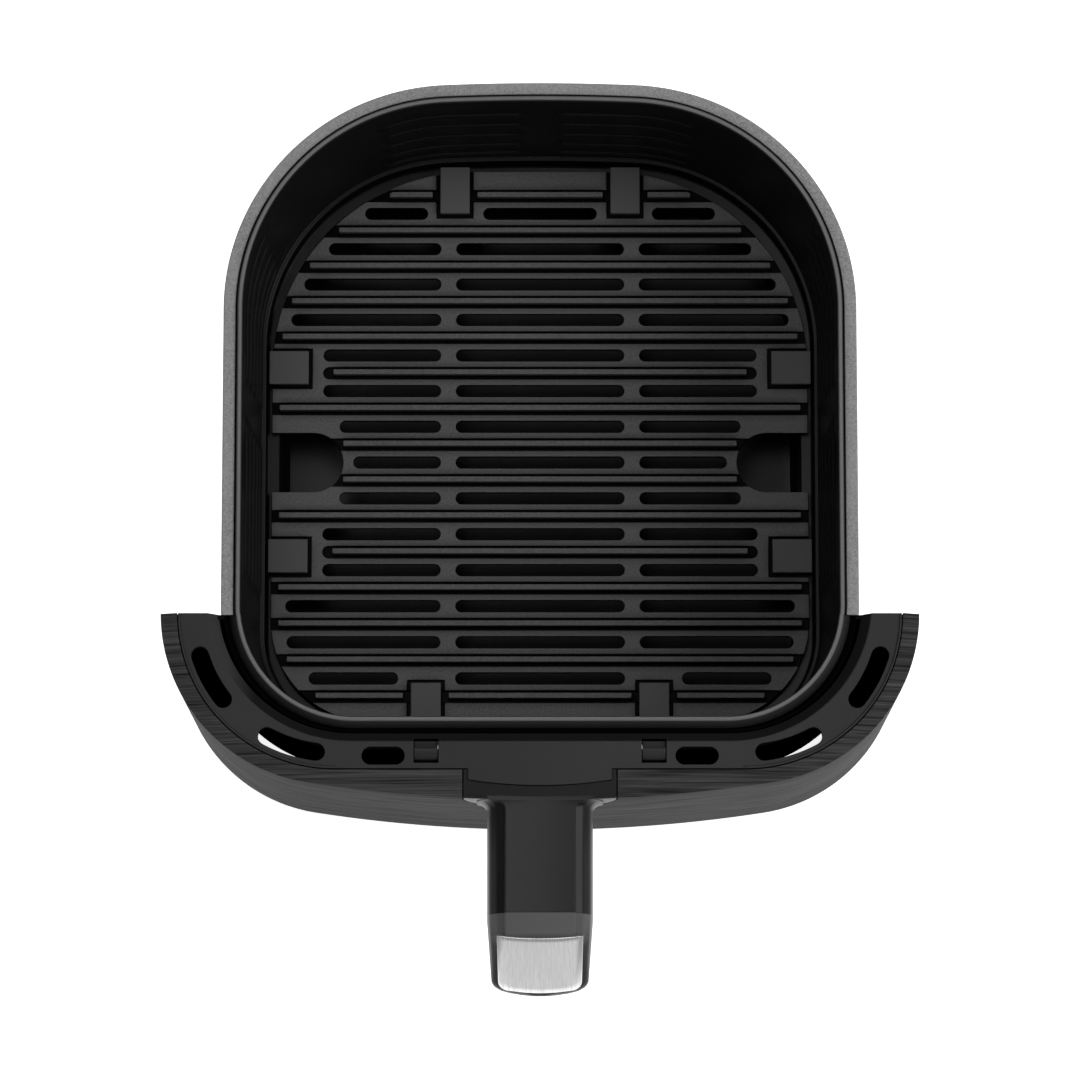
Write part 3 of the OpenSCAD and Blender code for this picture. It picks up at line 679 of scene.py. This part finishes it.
# The handle seen from the side and from above: y, and the height or half width there.
TOP_LINE = [(-140, 101.85), (-150.3, 100.24), (-GRIP_END, 100.0), (SLOPE_TOP_Y, SLOPE_TOP_Z),
            (-221.98, 73.84), (-222.6, 72.8), (-222.8, 72.0)]
UNDER_LINE = [(-140, ROOT_BOTTOM + 3), (-151.5, ROOT_BOTTOM + 3), (-153.5, 79.65), (-196, 69.8),
              (-206, 68.3), (-219.2, 67.8), (-221.0, 68.3), (-222.2, 69.4), (-222.8, 70.9)]
SIDE_LINE = [(-140, HANDLE_HALF_W), (-196.5, HANDLE_HALF_W), (-217.2, 18.45), (-218.4, 17.9),
             (-219.3, 17.0), (-220.5, 14.9), (-221.5, 11.2), (-222.3, 6.5), (-222.8, 2.2)]
FLARE_Y = 151.6
FLARE_R = 3.4
STEP_DOWN = 1.4


def on_line(line, y):
    for (y0, v0), (y1, v1) in zip(line, line[1:]):
        if y >= y1:
            return mix(v0, v1, (y - y0) / (y1 - y0))
    return line[-1][1]


def section(y, half_w, flat, top, bottom):
    """Closed outline of the handle at y: flat top, small step, round shoulders, eased below."""
    tall = top - bottom
    drop = min(11, 0.45 * tall)
    step = min(STEP_DOWN, 0.14 * tall)
    right = fillet([
        (0, top, 0), (flat, top, 0.35), (flat + 0.35, top - step, 0.25),
        (mix(flat, half_w, 0.45), top - step - 0.12 * drop, 4),
        (half_w - 0.8, top - step - 0.4 * drop, 4),
        (half_w, top - drop, 3), (half_w, mix(top - drop, bottom, 0.5), 0),
        (half_w - 0.4, bottom, min(4, 0.35 * tall)), (0, bottom, 0)
    ], 5)
    left = [(-x, z) for x, z in reversed(right[1:-1])]
    return [(x, y, z) for x, z in right + left]


def flare(y):
    """How far the grip has spread where it runs into its root."""
    d = min(max(-y - FLARE_Y, 0), FLARE_R)
    return FLARE_R - math.sqrt(FLARE_R ** 2 - (FLARE_R - d) ** 2)


def front_block():
    """Closed body behind the panel's outer face, used to shape the handle's root."""
    outer, seam = panel_path(0), collar_path()
    rings = [moved_out(outer, lean(z), z) for z in (60, 72, 84, 92)]
    crease = fillet([(-0.25, 92, 0), (0, PANEL_TOP, 0.9), (-1.6, PANEL_TOP + 0.3, 0)], 6)
    rings += [moved_out(outer, u, v) for u, v in crease[1:]]
    rings.append(moved_out(seam, 0, SEAM_Z))
    return lofted(rings, True)


def tongue_outline(grow):
    """The collar's tongue seen from above, with its bowed front edge."""
    w = 27.2 + grow
    r = 170 + grow
    reach = math.degrees(math.asin(w / r))
    bow = [(r * math.sin(math.radians(a)), 23.4 - r * math.cos(math.radians(a)))
           for a in [mix(-reach, reach, k / 24) for k in range(25)]]
    return [(-w, -130)] + bow + [(w, -130)]


# Metal plate: half width, upper edge, lower corner's radius and centre, height of its crown.
TIP_HALF_W = 16.3
TIP_UPPER = 0.9
TIP_R = 4.3
TIP_CORNER = (11.6, 24)
TIP_CROWN = 0.75
TIP_CENTRE = 14.7


def tip_outline(shrink):
    """Metal plate's outline in its own plane: x across, v down the slope from its upper edge."""
    top = [(TIP_HALF_W - shrink, TIP_UPPER + shrink)]
    corner = [(TIP_CORNER[0] + (TIP_R - shrink) * math.cos(a),
               TIP_CORNER[1] + (TIP_R - shrink) * math.sin(a))
              for a in [math.radians(15 * k) for k in range(6)]]
    low = [(8.8, 28.6 - shrink), (5.5, 28.95 - shrink), (2.5, 29.1 - shrink), (0, 29.15 - shrink)]
    right = top + corner + low
    left = [(-x, v) for x, v in reversed(right[:-1])]
    edge = [(x, TIP_UPPER + shrink + 0.7 * (1 - (x / TIP_HALF_W) ** 2))
            for x in (-12, -8, -4, 0, 4, 8, 12)]
    return right + left + edge


def on_slope(x, v, lift):
    """Point of the sloped end: v down the slope, lift out of it."""
    y = SLOPE_TOP_Y - v * math.cos(SLOPE) - lift * math.sin(SLOPE)
    z = SLOPE_TOP_Z - v * math.sin(SLOPE) + lift * math.cos(SLOPE)
    return (x, y, z)


# Where the grip's sections are: dense round the flare, the step to the band and the rounded end.
GRIP_STATIONS = (
    [-145, -149, -150.3, -151, -151.6, -151.8, -152.1, -152.5, -153, -153.6, -154.2, -155]
    + [-155 - 3 * k for k in range(1, 13)]
    + [-194.2, -194.59, -194.61, -195, -196.5, -199.5, -202.2, -202.39, -202.41, -203, -206,
       -209, -212, -215, -217.2, -217.8, -218.4, -218.9, -219.3, -219.7, -220.1, -220.5,
       -220.9, -221.2, -221.5, -221.8, -222.05, -222.3, -222.5, -222.65, -222.78])


def handle():
    """Grip and root in one: sections along the grip, joined to a block cut to the panel's face.

    It is solid. The CAD handle's room for its core and its cover isn't repeated here, so those two
    pieces lie inside it.
    """
    rings = []
    for y in GRIP_STATIONS:
        grow = flare(y)
        half_w = on_line(SIDE_LINE, y)
        rings.append(section(y, half_w + 1.15 * grow, min(HANDLE_FLAT, 0.7 * half_w) + 2.1 * grow,
                             on_line(TOP_LINE, y), on_line(UNDER_LINE, y)))
    bar = piece("handle_grip", *lofted(rings, True), HANDLE_PLASTIC, "drawer", ["handle"],
                "black_plastic", 35)
    root = loose("root", front_block())
    prism = loose("prism", level(root_outline(0), -143.2, -170))
    for sx in (-1, 1):
        ear = [(sx * 27.1, 94.6), (sx * ROOT_HALF_W, 94.6), (sx * ROOT_HALF_W, 109),
               (sx * 27.1, 109)]
        foot = [(sx * 26.6, 92), (sx * 30.4, 92), (sx * 30.4, 95), (sx * 26.6, 95)]
        for outline, back, front in ((ear, -140.55, -144), (foot, -139, -150.2)):
            shaped(prism, loose("ear", level(outline, back, front)), "UNION")
    shaped(root, prism, "INTERSECT")
    shaped(bar, root, "UNION")
    shaped(bar, loose("recess", upright(tongue_outline(0.15), 99.2, ABOVE)), "DIFFERENCE")
    seat = tip_outline(-0.15)
    floor_and_top = [[on_slope(x, v, lift) for x, v in seat] for lift in (-1.5, 6)]
    shaped(bar, loose("seat", lofted(floor_and_top, True)), "DIFFERENCE")
    shaded(bar.data, 28)
    bevel = bar.modifiers.new("eased", "BEVEL")
    bevel.width = 0.25 * MM
    bevel.segments = 2
    bevel.limit_method = "ANGLE"
    bevel.angle_limit = math.radians(40)
    bevel.use_clamp_overlap = True
    return bar


def crown(x):
    return TIP_CROWN * (1 - (x / TIP_HALF_W) ** 2)


def tip_plate():
    """Crowned metal plate with eased edges."""
    rings = []
    for shrink, lift in ((0.05, -1.4), (0.05, -0.3), (0.08, -0.1), (0.16, 0), (0.3, 0.04)):
        rings.append([on_slope(x, v, lift + crown(x)) for x, v in tip_outline(shrink)])
    inner = tip_outline(0.3)
    for share in (0.85, 0.6, 0.35, 0.12):
        rings.append([on_slope(x * share, mix(TIP_CENTRE, v, share), 0.04 + crown(x * share))
                      for x, v in inner])
    return piece("metal_tip", *lofted(rings, True), TIP_STEEL, "drawer", ["handle_tip"],
                 "tip_steel", 40)


# ---------------------------------------------------------------- stage, light and camera

def floor():
    """Near-white floor that glows a little, just below the drawer."""
    n = 24
    row = n + 1
    reach = 3000
    below = -0.3
    verts = [(mix(-reach, reach, i / n), mix(-reach, reach, j / n), below)
             for j in range(row) for i in range(row)]
    faces = [(j * row + i, j * row + i + 1, (j + 1) * row + i + 1, (j + 1) * row + i)
             for j in range(n) for i in range(n)]
    mesh = bpy.data.meshes.new("floor")
    mesh.from_pydata([(x * MM, y * MM, z * MM) for x, y, z in verts], [], faces)
    s = Shader("floor_white")
    s.set(Base_Color=(0.9, 0.9, 0.9, 1), Roughness=0.9, Emission_Color=(1, 1, 1, 1),
          Emission_Strength=0.88)
    mesh.materials.append(s.material)
    obj = linked("floor", mesh)


def softbox(name, place, aim, width, height, power):
    light = bpy.data.lights.new(name, "AREA")
    light.shape = "RECTANGLE"
    light.size = width
    light.size_y = height
    light.energy = power
    obj = linked(name, light)
    obj.location = place
    obj.rotation_euler = (Vector(aim) - Vector(place)).to_track_quat("-Z", "Y").to_euler()


def camera():
    """Nearly overhead view from the handle's side, through a long lens."""
    elevation = math.radians(79)
    distance = 2.6681
    target = Vector((0, -0.03809, 0.028))
    data = bpy.data.cameras.new("camera")
    data.lens = 227.7
    data.sensor_width = 36
    data.clip_end = 50
    obj = linked("camera", data)
    obj.location = target + distance * Vector((0, -math.cos(elevation), math.sin(elevation)))
    obj.rotation_euler = (math.radians(90) - elevation, 0, 0)
    bpy.context.scene.camera = obj


def studio():
    """Soft light from the right, from above and from the front; lengths here are metres."""
    world = bpy.data.worlds.new("studio")
    bpy.context.scene.world = world
    world.use_nodes = True
    back = world.node_tree.nodes["Background"]
    back.inputs[0].default_value = (1, 1, 1, 1)
    back.inputs[1].default_value = 0.08
    softbox("key_right", (1.7, -0.1, 1.6), (0, 0, 0.05), 1.3, 1.1, 30)
    softbox("overhead", (-0.35, 0.4, 2.35), (0, -0.02, 0), 1.3, 1.2, 24)
    softbox("front_fill", (0.2, -1.75, 1.85), (0, -0.15, 0.05), 1.2, 0.7, 9)
    bpy.context.scene.view_settings.view_transform = "Standard"


pot()
shell()
softened("plate_body", "crisper_plate", PLATE_COATING, "crisper", 0.35)
for side in ("left", "right"):
    for place in ("back", "front", "side_back", "side_front"):
        softened(f"pad_{place}_{side}", f"bumper_{place}_{side}", SILICONE, "crisper",
                 0.4)
    softened(f"clip_{side}", f"snap_tab_{side}", PLASTIC, "drawer", 0.15)
softened("collar_ring", "collar", COLLAR_PLASTIC, "drawer", 0.3)
backing()
front_panel()
handle()
tip_plate()
for node, material, slot, width in (
        ("handle_underside", DARK_PLASTIC, "backing_plastic", 0.3),
        ("handle_screws", SCREW_STEEL, "screw_steel", 0.25),
        ("bracket_screws", SCREW_STEEL, "screw_steel", 0.25),
        ("core_screws", SCREW_STEEL, "screw_steel", 0.25)):
    softened(f"{node}_body", node, material, "drawer", width)
for node in ("pot_bracket", "handle_core"):
    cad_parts[node].data.materials.clear()
    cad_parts[node].data.materials.append(STEEL)
floor()
camera()
studio()
